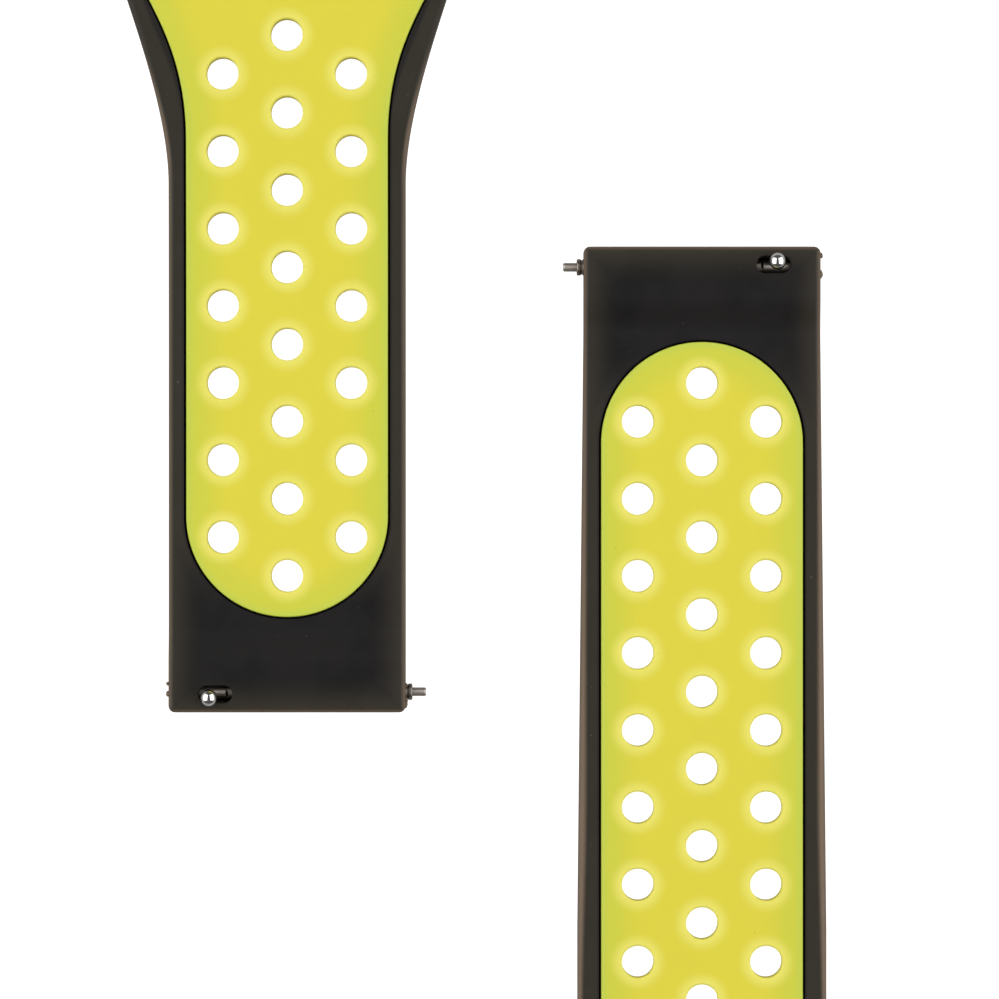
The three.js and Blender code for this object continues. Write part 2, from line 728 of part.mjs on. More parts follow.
// The origin goes under the middle of the pair.
const extent = new THREE.Box3().setFromObject(strap, true);
const middle = extent.getCenter(new THREE.Vector3());
strap.position.set(-middle.x, -middle.y, -extent.min.z);

export default strap;
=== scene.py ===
import math
import random

import bmesh
import bpy
from mathutils import Matrix, Vector


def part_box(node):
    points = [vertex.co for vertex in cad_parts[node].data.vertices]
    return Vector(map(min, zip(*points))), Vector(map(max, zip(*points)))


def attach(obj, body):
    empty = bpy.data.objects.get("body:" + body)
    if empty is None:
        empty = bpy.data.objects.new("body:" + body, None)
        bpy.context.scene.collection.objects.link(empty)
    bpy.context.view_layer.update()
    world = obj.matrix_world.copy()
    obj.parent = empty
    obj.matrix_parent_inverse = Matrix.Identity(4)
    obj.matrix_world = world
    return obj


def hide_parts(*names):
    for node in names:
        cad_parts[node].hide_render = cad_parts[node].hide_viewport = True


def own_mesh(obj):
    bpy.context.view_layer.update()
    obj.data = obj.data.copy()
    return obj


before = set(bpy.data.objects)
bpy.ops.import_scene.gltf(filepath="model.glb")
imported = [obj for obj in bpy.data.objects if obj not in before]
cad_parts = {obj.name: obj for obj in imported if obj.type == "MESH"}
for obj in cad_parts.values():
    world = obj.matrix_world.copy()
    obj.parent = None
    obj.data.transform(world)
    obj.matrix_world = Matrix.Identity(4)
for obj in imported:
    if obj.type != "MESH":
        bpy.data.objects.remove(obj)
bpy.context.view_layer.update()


# ---- The pair on the table, and the camera ---------------------------------------------
# The strap is two separate silicone halves, which lie side by side with the wrist side
# up. Each is modelled in millimetres in its own frame, lug end on y = 0, outer face on
# z = 0 and lever towards -X, and then laid in place. The camera looks straight down.

MM = 0.001

short_low, short_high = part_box("short_strap_shell")
long_low, long_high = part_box("long_strap_shell")

halves = {
    "short": {
        "centre": (short_low.x + short_high.x) / 2,
        "lug_end": short_low.y,
        "turn": 0.0,
        "length": (short_high.y - short_low.y) / MM,
    },
    "long": {
        "centre": (long_low.x + long_high.x) / 2,
        "lug_end": long_high.y,
        "turn": math.pi,
        "length": (long_high.y - long_low.y) / MM,
    },
}


def lay(piece, half):
    """Takes a finished mesh from its half's own frame to its place on the table, in metres."""
    place = halves[half]
    move = Matrix.Translation((place["centre"], place["lug_end"], 0))
    turned = Matrix.Rotation(place["turn"], 4, "Z")
    piece.data.transform(move @ turned @ Matrix.Scale(MM, 4))
    piece.data.update()


view_width = 90.57 * MM
view_distance = 0.62
wrist_face_height = 2.4 * MM
view_right = 0.45 * MM
view_down = 1.815 * MM

camera_data = bpy.data.cameras.new("camera")
camera_data.sensor_width = 36
camera_data.lens = camera_data.sensor_width * view_distance / view_width
camera_data.clip_start = 0.01
camera = bpy.data.objects.new("camera", camera_data)
bpy.context.scene.collection.objects.link(camera)
camera.location = (
    (halves["short"]["centre"] + halves["long"]["centre"]) / 2 + view_right,
    (halves["short"]["lug_end"] + halves["long"]["lug_end"]) / 2 - view_down,
    wrist_face_height + view_distance,
)
bpy.context.scene.camera = camera


# ---- Dark mouldings --------------------------------------------------------------------
# The outer part of each half is one compression-moulded piece of dark silicone, matte,
# soft, with rounded edges. It is thicker at the lug end, where the spring bar's bore
# runs across it, and its wrist side has a recess for the bright liner.

lug_width = 21.5
lug_thickness = 3.0
body_thickness = 2.3
lug_flat = 4.4
lug_ramp_end = 7.8
lug_corner = 0.6
edge_rounding = 0.5

flare_start = halves["short"]["length"] - 40.05
flare_start_handle = 8.2
flare_end = halves["short"]["length"] - 17.8
flare_end_handle = 2.6
head_width = 32.0
head_straight = 5.5
head_tip_reach = 9.4

long_width = 22.6
long_taper = (8.0, 62.0)

liner_margin = 1.6
liner_width = lug_width - 2 * liner_margin
liner_thickness = 1.2
liner_start = 8.65
liner_groove = 0.2
liner_seat_gap = 0.06
liner_flare_start = halves["short"]["length"] - 35.9
liner_flare_start_handle = 9.3
liner_flare_end = halves["short"]["length"] - 19.7
liner_flare_end_handle = 2.8
liner_head_margin = 2.1
liner_head_width = head_width - 2 * liner_head_margin
liner_head_corner = 1.6

hole_diameter = 2.9
hole_pitch = 7.0
first_hole = 12.38
column_from_liner_edge = 3.33
column_offset = liner_width / 2 - column_from_liner_edge
boss_wall = 0.95
boss_diameter = hole_diameter + 2 * boss_wall
hole_rows = {"short": 8, "long": 17}

tuck_slot_end_room = 1.2
tuck_slot_side_room = 2.5
tuck_slot_from_liner = 2.3
tuck_slot_length = long_width + 2 * tuck_slot_end_room
tuck_slot_width = body_thickness + tuck_slot_side_room
tuck_slot_corner = 1.4
liner_head_end = liner_flare_end + liner_head_corner
tuck_slot_centre = liner_head_end + tuck_slot_from_liner + tuck_slot_width / 2
tuck_slot_rounding = 0.42

stud_y = halves["short"]["length"] - 6.4
stud_neck_diameter = hole_diameter - 0.3
stud_rivet_diameter = 1.5
stud_disc_diameter = 7.0
stud_disc_thickness = 0.5
stud_clearance = 0.06

bar_from_lug_end = 1.86
bar_shift = 1.06
bar_height = lug_thickness / 2
bar_bore_clearance = 0.1
barrel_short_of_lug = 0.9
barrel_length = lug_width - barrel_short_of_lug
barrel_diameter = 1.5
lever_from_barrel_end = 2.12
lever_from_bar_middle = lever_from_barrel_end - barrel_length / 2
lever_travel = 1.2
lever_slot_room = (0.87, 0.98)  # before the lever's travel, and past it
lever_slot_width = 1.5
lever_slot_from_lug_end = 1.65

crumb_reach = 0.21
crumb_height = 0.3
crumb_unevenness = 0.08
# Each crumb by the mouths of the bore: its flank, distance from the lug end, height, length.
flash_crumbs = {
    "short": (
        (-1, 2.62, 2.35, 0.18),
        (-1, 1.70, 2.48, 0.34),
        (1, 2.45, 2.10, 0.20),
        (1, 1.20, 1.95, 0.30),
        (1, 0.72, 1.70, 0.34),
    ),
    "long": ((-1, 2.50, 2.25, 0.42), (-1, 0.82, 2.00, 0.28)),
}

rise_length = 57.0
rise_start = stud_y - rise_length

overcut = 1.0  # how far a cutting shape goes past the face that it cuts
bite = 0.3  # how far one cut goes into another
cut_rim_rounding = 0.14


def activate(piece):
    """Makes a piece the only one selected, and the active one."""
    bpy.ops.object.select_all(action="DESELECT")
    piece.select_set(True)
    bpy.context.view_layer.objects.active = piece


def arc(centre_x, centre_y, radius, start, end, steps):
    """Points round an arc, both ends included. Angles are in degrees."""
    angles = [math.radians(start + (end - start) * k / steps) for k in range(steps + 1)]
    return [(centre_x + radius * math.cos(a), centre_y + radius * math.sin(a)) for a in angles]


def curve(start, start_handle, end_handle, end, steps):
    """Points along a Bezier curve, both ends included."""
    corners = (start, start_handle, end_handle, end)
    points = []
    for k in range(steps + 1):
        t = k / steps
        weights = ((1 - t) ** 3, 3 * t * (1 - t) ** 2, 3 * t * t * (1 - t), t**3)
        points.append(tuple(sum(w * c[axis] for w, c in zip(weights, corners)) for axis in (0, 1)))
    return points


def both_sides(right):
    """A closed outline from its right-hand side, with points that coincide left out."""
    outline = []
    for point in right + [(-x, y) for x, y in reversed(right)]:
        if not outline or math.dist(point, outline[-1]) > 0.01:
            outline.append(point)
    if math.dist(outline[0], outline[-1]) < 0.01:
        outline.pop()
    return outline


def rounded_rectangle(length, width, corner, centre_x, centre_y):
    """The outline of a rectangle with round corners."""
    outline = []
    for start, side_x, side_y in ((0, 1, 1), (90, -1, 1), (180, -1, -1), (270, 1, -1)):
        x = centre_x + side_x * (length / 2 - corner)
        y = centre_y + side_y * (width / 2 - corner)
        outline += arc(x, y, corner, start, start + 90, 10)
    return outline


def lug_end_side():
    """The right-hand side of the square lug end, with its rounded corner."""
    return arc(lug_width / 2 - lug_corner, lug_corner, lug_corner, -90, 0, 8)


def short_outline():
    """The short half: straight sides that spread into a wide, blunt head."""
    half_width = lug_width / 2
    head = head_width / 2
    tip_start = flare_end + head_straight
    tip = halves["short"]["length"]
    side = lug_end_side()
    side += curve(
        (half_width, flare_start),
        (half_width, flare_start + flare_start_handle),
        (head, flare_end - flare_end_handle),
        (head, flare_end),
        36,
    )
    shoulder = (head, (tip_start + tip) / 2)
    side += curve((head, tip_start), shoulder, (head_tip_reach, tip), (0, tip), 40)
    return both_sides(side)


def long_outline():
    """The long half: nearly parallel sides and a round tail."""
    radius = long_width / 2
    side = lug_end_side()
    side += [(lug_width / 2, long_taper[0]), (radius, long_taper[1])]
    side += arc(0, halves["long"]["length"] - radius, radius, 0, 90, 36)
    return both_sides(side)


def short_liner_outline(room):
    """The short liner or, with room round it, its recess."""
    radius = liner_width / 2
    head = liner_head_width / 2 + room
    corner = liner_head_corner + room
    side = arc(0, liner_start + radius, radius + room, -90, 0, 32)
    side += curve(
        (radius + room, liner_flare_start),
        (radius + room, liner_flare_start + liner_flare_start_handle),
        (head, liner_flare_end - liner_flare_end_handle),
        (head, liner_flare_end),
        32,
    )
    side += arc(head - corner, liner_flare_end, corner, 0, 90, 8)
    return both_sides(side)


def long_liner_outline(room):
    """The long liner or, with room round it, its recess."""
    radius = liner_width / 2
    side = arc(0, liner_start + radius, radius + room, -90, 0, 32)
    side += arc(0, halves["long"]["length"] - long_width / 2, radius + room, 0, 90, 32)
    return both_sides(side)


def hole_places(half):
    """Centres of the holes: a middle column, and one each side half a pitch on."""
    rows = hole_rows[half]
    middle = [(0, first_hole + row * hole_pitch) for row in range(rows)]
    beside = [
        (side * column_offset, first_hole + (row + 0.5) * hole_pitch)
        for row in range(rows - 1)
        for side in (-1, 1)
    ]
    return middle + beside


def plate(name, outline, bottom, top):
    """A plate: a filled circle, its points drawn out to the outline, extruded upwards."""
    bpy.ops.object.select_all(action="DESELECT")
    bpy.ops.mesh.primitive_circle_add(vertices=len(outline), radius=1, fill_type="NGON")
    piece = bpy.context.object
    piece.name = name
    for corner, (x, y) in zip(piece.data.vertices, outline):
        corner.co = (x, y, bottom)
    bpy.ops.object.mode_set(mode="EDIT")
    bpy.ops.mesh.select_all(action="SELECT")
    bpy.ops.mesh.extrude_region_move(TRANSFORM_OT_translate={"value": (0, 0, top - bottom)})
    bpy.ops.mesh.select_all(action="SELECT")
    bpy.ops.mesh.normals_make_consistent(inside=False)
    bpy.ops.object.mode_set(mode="OBJECT")
    return piece


def rods(places, diameter, bottom, top, sides):
    """Upright round rods of one size, as one object."""
    bpy.ops.object.select_all(action="DESELECT")
    bpy.ops.mesh.primitive_cylinder_add(
        vertices=sides, radius=diameter / 2, depth=top - bottom, location=(0, 0, (top + bottom) / 2)
    )
    bpy.ops.object.transform_apply(location=True)
    return copies(bpy.context.object, places)


def copies(pattern, places):
    """Copies of a solid at each place, joined into one object. The pattern is used up."""
    bpy.ops.object.select_all(action="DESELECT")
    made = []
    for x, y in places:
        one = pattern.copy()
        one.data = pattern.data.copy()
        one.data.transform(Matrix.Translation((x, y, 0)))
        bpy.context.scene.collection.objects.link(one)
        made.append(one)
    bpy.data.objects.remove(pattern)
    for one in made:
        one.select_set(True)
    bpy.context.view_layer.objects.active = made[0]
    bpy.ops.object.join()
    return bpy.context.object


def boolean(piece, other, operation):
    """Joins another solid to a piece, or cuts it away, and uses the other one up."""
    activate(piece)
    step = piece.modifiers.new("step", "BOOLEAN")
    step.operation = operation
    step.solver = "EXACT"
    step.object = other
    bpy.ops.object.modifier_apply(modifier=step.name)
    bpy.data.objects.remove(other)


def round_off(piece, radius, segments, chosen):
    """Rounds the edges for which chosen(edge) is true."""
    activate(piece)
    bpy.ops.object.mode_set(mode="EDIT")
    bpy.ops.mesh.select_mode(type="EDGE")
    bpy.ops.mesh.select_all(action="DESELECT")
    skin = bmesh.from_edit_mesh(piece.data)
    for edge in skin.edges:
        edge.select_set(len(edge.link_faces) == 2 and chosen(edge))
    bmesh.update_edit_mesh(piece.data)
    bpy.ops.mesh.bevel(offset=radius, segments=segments, profile=0.5, affect="EDGES")
    bpy.ops.object.mode_set(mode="OBJECT")


def rim_at(height):
    """Chooses the sharp edges between a level face at that height and an upright one."""

    def chosen(edge):
        level = all(abs(corner.co.z - height) < 0.002 for corner in edge.verts)
        slopes = sorted(abs(face.normal.z) for face in edge.link_faces)
        return level and slopes[0] < 0.2 and slopes[1] > 0.9

    return chosen


def cut_across(piece, levels):
    """Gives a piece an edge all round it at each distance from its lug end."""
    activate(piece)
    bpy.ops.object.mode_set(mode="EDIT")
    for level in levels:
        bpy.ops.mesh.select_all(action="SELECT")
        bpy.ops.mesh.bisect(plane_co=(0, level, 0), plane_no=(0, 1, 0))
    bpy.ops.object.mode_set(mode="OBJECT")


def score(piece, half):
    """Cuts the short half across at each millimetre of its rise, so that it can bend there."""
    if half == "short":
        steps = int(halves[half]["length"] - rise_start)
        cut_across(piece, [rise_start + k for k in range(steps + 1)])


def rise(y):
    """Height of a soft strip that is lifted by 1 at the stud and still flat at rise_start."""
    u = (y - rise_start) / rise_length
    if u <= 0:
        return 0.0
    if u >= 1:
        return 1.0 + 2.0 * (u - 1)
    return 2 * u**3 - u**4


stud_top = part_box("closure_stud")[1].z / MM
stud_lift = (stud_top - body_thickness) / rise(stud_y + stud_rivet_diameter / 2)


def bend(piece, half):
    """Lifts a piece of the short half, whose stud stands on the table under its head."""
    if half == "short":
        for corner in piece.data.vertices:
            corner.co.z += stud_lift * rise(corner.co.y)


def thicken_lug_end(piece):
    """Raises the wrist side of the lug end, with a smooth ramp down to the body."""
    steps = 8
    ramp = lug_ramp_end - lug_flat
    cut_across(piece, [lug_flat + ramp * k / steps for k in range(steps + 1)])
    for corner in piece.data.vertices:
        share = min(1, max(0, (lug_ramp_end - corner.co.y) / ramp))
        extra = (lug_thickness - body_thickness) * share * share * (3 - 2 * share)
        corner.co.z += extra * corner.co.z / body_thickness


def flash_crumb(x, y, z, length, seed):
    """A crumb of silicone left where the mould's core pin was drawn out of the bore."""
    bpy.ops.object.select_all(action="DESELECT")
    bpy.ops.mesh.primitive_ico_sphere_add(subdivisions=3, radius=1)
    crumb = bpy.context.object
    chance = random.Random(seed)
    waves = [(chance.uniform(2, 5), chance.uniform(0, 6)) for _ in range(3)]
    for corner in crumb.data.vertices:
        swell = 0.0
        for axis, (wave, phase) in enumerate(waves):
            swell += math.sin(corner.co[axis] * wave + phase)
        corner.co *= 1 + crumb_unevenness * swell
    size = Matrix.Diagonal((crumb_reach, length, crumb_height, 1))
    crumb.data.transform(Matrix.Translation((x, y, z)) @ size)
    return crumb


def bar_bore():
    """A rod the size of the bore that the spring bar goes through."""
    radius = barrel_diameter / 2 + bar_bore_clearance
    bpy.ops.object.select_all(action="DESELECT")
    depth = lug_width + 2 * overcut
    bpy.ops.mesh.primitive_cylinder_add(vertices=48, radius=radius, depth=depth)
    bore = bpy.context.object
    across = Matrix.Rotation(math.pi / 2, 4, "Y")
    bore.data.transform(Matrix.Translation((0, bar_from_lug_end, bar_height)) @ across)
    return bore


def lever_slot():
    """A block the size of the slot that the lever moves in."""
    length = lever_slot_room[0] + lever_travel + lever_slot_room[1]
    middle = bar_shift + lever_from_bar_middle - lever_slot_room[0] + length / 2
    corner = lever_slot_width / 2 - 0.01
    outline = rounded_rectangle(length, lever_slot_width, corner, middle, lever_slot_from_lug_end)
    return plate("lever_slot", outline, bar_height, lug_thickness + overcut)


def moulding(half, outline, recess):
    """One dark moulding, cut out for its liner, its bar and its lever."""
    floor = body_thickness - liner_thickness
    piece = plate(f"{half}_moulding", outline, 0, body_thickness)
    round_off(piece, edge_rounding, 6, lambda edge: rim_at(0)(edge) or rim_at(body_thickness)(edge))
    thicken_lug_end(piece)
    score(piece, half)
    for seed, (side, y, z, length) in enumerate(flash_crumbs[half]):
        crumb = flash_crumb(side * lug_width / 2, y, z, length, seed + len(half))
        boolean(piece, crumb, "UNION")
    boolean(piece, plate("recess", recess, floor, lug_thickness + overcut), "DIFFERENCE")
    seats = rods(hole_places(half), boss_diameter, -overcut, floor + bite, 32)
    boolean(piece, seats, "DIFFERENCE")
    boolean(piece, bar_bore(), "DIFFERENCE")
    boolean(piece, lever_slot(), "DIFFERENCE")
    round_off(piece, cut_rim_rounding, 4, rim_at(lug_thickness))
    return piece


def tuck_slot_rim(edge):
    """Chooses the rims of the slot that the long half's tail is tucked through."""
    half_length = tuck_slot_length / 2 + 0.01
    half_width = tuck_slot_width / 2 + 0.01
    for corner in edge.verts:
        if abs(corner.co.x) >= half_length or abs(corner.co.y - tuck_slot_centre) >= half_width:
            return False
    return rim_at(0)(edge) or rim_at(body_thickness)(edge)


def cut_head(piece):
    """Cuts the tail's slot, and the seat of the stud and its disc, in the short half's head."""
    size = (tuck_slot_length, tuck_slot_width, tuck_slot_corner)
    outline = rounded_rectangle(*size, 0, tuck_slot_centre)
    cutter = plate("tuck_slot", outline, -overcut, body_thickness + overcut)
    boolean(piece, cutter, "DIFFERENCE")
    round_off(piece, tuck_slot_rounding, 5, tuck_slot_rim)
    floor = body_thickness - stud_disc_thickness - stud_clearance
    seat = stud_disc_diameter + 2 * stud_clearance
    neck = stud_neck_diameter + 2 * stud_clearance
    place = [(0, stud_y)]
    boolean(piece, rods(place, seat, floor, body_thickness + overcut, 64), "DIFFERENCE")
    boolean(piece, rods(place, neck, -overcut, floor + bite, 40), "DIFFERENCE")


def add_node(tree, kind, inputs=None, **settings):
    """Adds a shader node, sets its fields, and sets or links its inputs."""
    made = tree.nodes.new(kind)
    for name, value in settings.items():
        setattr(made, name, value)
    for key, value in (inputs or {}).items():
        if isinstance(value, bpy.types.NodeSocket):
            tree.links.new(value, made.inputs[key])
        else:
            made.inputs[key].default_value = value
    return made


def sums(tree, operation, first, second=0.0):
    """One step of arithmetic on two values."""
    return add_node(tree, "ShaderNodeMath", {0: first, 1: second}, operation=operation).outputs[0]


def length_of(tree, first, second):
    """Length of the step that goes first one way and second at right angles to it."""
    squares = [sums(tree, "MULTIPLY", side, side) for side in (first, second)]
    return sums(tree, "SQRT", sums(tree, "ADD", *squares))


def ease(tree, value, low, high, to_low=0.0, to_high=1.0):
    """As value goes from low to high, goes smoothly from to_low to to_high."""
    inputs = {"Value": value, "From Min": low, "From Max": high}
    inputs.update({"To Min": to_low, "To Max": to_high})
    made = add_node(tree, "ShaderNodeMapRange", inputs, interpolation_type="SMOOTHSTEP")
    return made.outputs["Result"]


def blend_colours(tree, share, first, second):
    """A blend of two colours."""
    made = add_node(tree, "ShaderNodeMix", {0: share, 6: first, 7: second}, data_type="RGBA")
    return made.outputs[2]


def noise(tree, position, scale, detail=2.0):
    """Soft random patches, scale of them to the millimetre."""
    inputs = {"Vector": position, "Scale": scale, "Detail": detail, "Roughness": 0.6}
    return add_node(tree, "ShaderNodeTexNoise", inputs).outputs[0]


def bumps(tree, height, strength, depth):
    """A normal for relief of that depth, in millimetres."""
    inputs = {"Height": height, "Strength": strength, "Distance": depth * MM}
    return add_node(tree, "ShaderNodeBump", inputs).outputs["Normal"]


def start_group(name, inputs, outputs):
    """A new node group, with its input and output nodes."""
    tree = bpy.data.node_groups.new(name, "ShaderNodeTree")
    for socket, kind in inputs:
        tree.interface.new_socket(socket, in_out="INPUT", socket_type=kind)
    for socket in outputs:
        tree.interface.new_socket(socket, in_out="OUTPUT", socket_type="NodeSocketFloat")
    return tree, tree.nodes.new("NodeGroupInput"), tree.nodes.new("NodeGroupOutput")


def moulded_grain_group():
    """The fine matte grain that a spark-eroded mould gives silicone, and its faint patches."""
    inputs = [("Position", "NodeSocketVector"), ("Fineness", "NodeSocketFloat")]
    tree, given, result = start_group("moulded_grain", inputs, ["Height", "Patches"])
    grain = sums(tree, "MULTIPLY", noise(tree, given.outputs[0], given.outputs[1], 3.0), 0.55)
    ripple = sums(tree, "MULTIPLY", noise(tree, given.outputs[0], 0.9), 0.8)
    tree.links.new(sums(tree, "ADD", grain, ripple), result.inputs[0])
    tree.links.new(ease(tree, noise(tree, given.outputs[0], 0.22, 4.0), 0.3, 0.7), result.inputs[1])
    return tree


def dust_group():
    """A mask of the sparse specks of lint that cling to silicone."""
    inputs = [("Position", "NodeSocketVector"), ("Share", "NodeSocketFloat")]
    tree, given, result = start_group("dust", inputs, ["Specks"])
    masks = []
    for cells_per_mm, size in ((1.1, 0.085), (2.3, 0.10)):
        inputs = {"Vector": given.outputs[0], "Scale": cells_per_mm}
        cells = add_node(tree, "ShaderNodeTexVoronoi", inputs)
        chance = add_node(tree, "ShaderNodeSeparateColor", {0: cells.outputs["Color"]})
        kept = sums(tree, "LESS_THAN", chance.outputs[0], given.outputs[1])
        own_size = sums(tree, "MULTIPLY", chance.outputs[1], size)
        near = sums(tree, "LESS_THAN", cells.outputs["Distance"], own_size)
        masks.append(sums(tree, "MULTIPLY", kept, near))
    tree.links.new(sums(tree, "MAXIMUM", masks[0], masks[1]), result.inputs[0])
    return tree


def moulding_edge_group():
    """Distance in from the moulding's edge, and from its lug end, in millimetres."""
    inputs = [
        ("Position", "NodeSocketVector"),
        ("Length", "NodeSocketFloat"),
        ("Spread", "NodeSocketFloat"),
    ]
    tree, given, result = start_group("moulding_edge", inputs, ["Inwards", "From Lug End"])
    axes = add_node(tree, "ShaderNodeSeparateXYZ", {0: given.outputs[0]})
    across = sums(tree, "ABSOLUTE", axes.outputs[0])
    along = axes.outputs[1]
    widening = ease(tree, along, flare_start + 1, flare_end + 2)
    side = sums(tree, "ADD", sums(tree, "MULTIPLY", widening, given.outputs[2]), lug_width / 2)
    to_side = sums(tree, "SUBTRACT", side, across)
    to_ends = sums(tree, "MINIMUM", along, sums(tree, "SUBTRACT", given.outputs[1], along))
    tree.links.new(sums(tree, "MINIMUM", to_side, to_ends), result.inputs[0])
    tree.links.new(along, result.inputs[1])
    return tree


def liner_edge_group():
    """Distance in from the liner's edge, in millimetres. It is negative outside the liner."""
    inputs = [
        ("Position", "NodeSocketVector"),
        ("Tail Centre", "NodeSocketFloat"),
        ("Spread", "NodeSocketFloat"),
    ]
    tree, given, result = start_group("liner_edge", inputs, ["Inwards"])
    axes = add_node(tree, "ShaderNodeSeparateXYZ", {0: given.outputs[0]})
    across, along = axes.outputs[0], axes.outputs[1]
    radius = liner_width / 2
    before = sums(tree, "MINIMUM", sums(tree, "SUBTRACT", along, liner_start + radius), 0.0)
    after = sums(tree, "MAXIMUM", sums(tree, "SUBTRACT", along, given.outputs[1]), 0.0)
    ends = sums(tree, "SUBTRACT", after, before)
    from_axis = length_of(tree, across, ends)
    widening = ease(tree, along, liner_flare_start + 1, liner_flare_end + 2)
    edge = sums(tree, "ADD", sums(tree, "MULTIPLY", widening, given.outputs[2]), radius)
    tree.links.new(sums(tree, "SUBTRACT", edge, from_axis), result.inputs[0])
    return tree


moulded_grain = moulded_grain_group()
dust = dust_group()
moulding_edge = moulding_edge_group()
liner_edge = liner_edge_group()
moulding_spread = {"short": (head_width - lug_width) / 2, "long": 0.4}
liner_spread = {"short": (liner_head_width - liner_width) / 2, "long": 0.0}
liner_tail_centre = {
    "short": halves["short"]["length"],
    "long": halves["long"]["length"] - long_width / 2,
}


def start_material(name, half="short"):
    """A new material, its shader, and the position in millimetres in that half's own frame."""
    material = bpy.data.materials.new(name)
    material.use_nodes = True
    tree = material.node_tree
    shader = tree.nodes["Principled BSDF"]
    place = add_node(tree, "ShaderNodeTexCoord").outputs["Object"]
    mapping = add_node(tree, "ShaderNodeMapping", {"Vector": place})
    turned = halves[half]["turn"]
    facing = math.cos(turned)
    mapping.inputs["Scale"].default_value = (1 / MM, 1 / MM, 1 / MM)
    mapping.inputs["Rotation"].default_value = (0, 0, turned)
    mapping.inputs["Location"].default_value = (
        -facing * halves[half]["centre"] / MM,
        -facing * halves[half]["lug_end"] / MM,
        0,
    )
    return material, tree, shader, mapping.outputs[0]


def dark_silicone_material(half):
    """Matte, slightly warm black with a little dust; painted lighter and browner towards its edges
    and beside the liner as glare and rim light, and painted darker by the liner's groove as shade.
    """
    material, tree, shader, place = start_material(f"dark_silicone_{half}", half)
    grain = add_node(tree, "ShaderNodeGroup", node_tree=moulded_grain)
    specks = add_node(tree, "ShaderNodeGroup", node_tree=dust)
    edge = add_node(tree, "ShaderNodeGroup", node_tree=moulding_edge)
    lining = add_node(tree, "ShaderNodeGroup", node_tree=liner_edge)
    for group in (grain, specks, edge, lining):
        tree.links.new(place, group.inputs["Position"])
    grain.inputs["Fineness"].default_value = 14.0
    specks.inputs["Share"].default_value = 0.14
    edge.inputs["Length"].default_value = halves[half]["length"]
    edge.inputs["Spread"].default_value = moulding_spread[half]
    lining.inputs["Tail Centre"].default_value = liner_tail_centre[half]
    lining.inputs["Spread"].default_value = liner_spread[half]

    black = (0.0043, 0.0035, 0.0034, 1)
    soft_black = (0.0058, 0.0046, 0.0043, 1)
    # The next two colours are painted light: a lighter warm tone for glare, and a brown for light
    # on the rounded rims.
    glare_tone = (0.033, 0.027, 0.018, 1)
    rim_light_brown = (0.200, 0.142, 0.095, 1)
    lint = (0.10, 0.085, 0.07, 1)
    patches = grain.outputs["Patches"]
    skin = blend_colours(tree, patches, black, soft_black)
    # Painted glare: lighter and warmer within about 3 mm of the moulding's edge, and beside the
    # liner past the lug end, for light from the white table and the bright liner spreading over the
    # black.
    edge_glare = ease(tree, edge.outputs["Inwards"], -0.6, 3.2, 1.0, 0.0)
    beside_liner = ease(tree, lining.outputs["Inwards"], -2.8, -1.5, 0.0, 0.8)
    past_lug_end = ease(tree, edge.outputs["From Lug End"], liner_start + 1, liner_start + 8)
    border = sums(tree, "MULTIPLY", beside_liner, past_lug_end)
    glare_share = sums(tree, "MAXIMUM", edge_glare, border)
    skin = blend_colours(tree, glare_share, skin, glare_tone)
    # Painted shade: darker towards black in the last half millimetre before the liner's groove.
    groove_shade = ease(tree, lining.outputs["Inwards"], -0.5, -0.15, 0.0, 0.7)
    skin = blend_colours(tree, groove_shade, skin, black)
    # Painted rim light: brown along the rounded edges within half a millimetre of the outline,
    # faint where the flanks face sideways.
    outwards = add_node(tree, "ShaderNodeNewGeometry").outputs["Normal"]
    upwards = add_node(tree, "ShaderNodeSeparateXYZ", {0: outwards}).outputs[2]
    rim = ease(tree, edge.outputs["Inwards"], -0.05, 0.45, 0.85, 0.0)
    rim = sums(tree, "MULTIPLY", rim, ease(tree, upwards, 0.0, 0.4, 0.05, 1.0))
    skin = blend_colours(tree, rim, skin, rim_light_brown)
    skin = blend_colours(tree, specks.outputs["Specks"], skin, lint)
    tree.links.new(skin, shader.inputs["Base Color"])
    tree.links.new(ease(tree, patches, 0, 1, 0.42, 0.52), shader.inputs["Roughness"])
    tree.links.new(bumps(tree, grain.outputs["Height"], 0.35, 0.02), shader.inputs["Normal"])
    shader.inputs["IOR"].default_value = 1.41
    shader.inputs["Specular IOR Level"].default_value = 0.35
    return material


def finish_piece(piece, half, node, body, material):
    """Smooths a piece between its real edges, lays it in place and fixes it to its body."""
    piece.data.materials.clear()
    piece.data.materials.append(material)
    lay(piece, half)
    activate(piece)
    bpy.ops.object.shade_smooth_by_angle(angle=math.radians(38))
    evened = piece.modifiers.new("evened", "WEIGHTED_NORMAL")
    evened.keep_sharp = True
    evened.weight = 90
    bpy.ops.object.modifier_apply(modifier=evened.name)
    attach(piece, body)
    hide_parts(node)


short_dark = dark_silicone_material("short")
long_dark = dark_silicone_material("long")

short_moulding = moulding("short", short_outline(), short_liner_outline(liner_groove))
cut_head(short_moulding)
bend(short_moulding, "short")
finish_piece(
    short_moulding, "short", "short_strap_shell", "short_strap", short_dark
)

long_moulding = moulding("long", long_outline(), long_liner_outline(liner_groove))
finish_piece(long_moulding, "long", "long_strap_shell", "long_strap", long_dark)


# ---- Bright liners ---------------------------------------------------------------------
# The liner is a second shot of bright silicone, flush with the wrist side inside a fine
# open groove. Round each hole it has a boss that goes through the dark moulding, so the
# holes are bright all the way through and show as rings on the outer side.

liner_edge_rounding = 0.15
boss_overlap = 0.4
hole_rim_rounding = 0.2
hole_foot_rounding = 0.12
hole_sides = 36


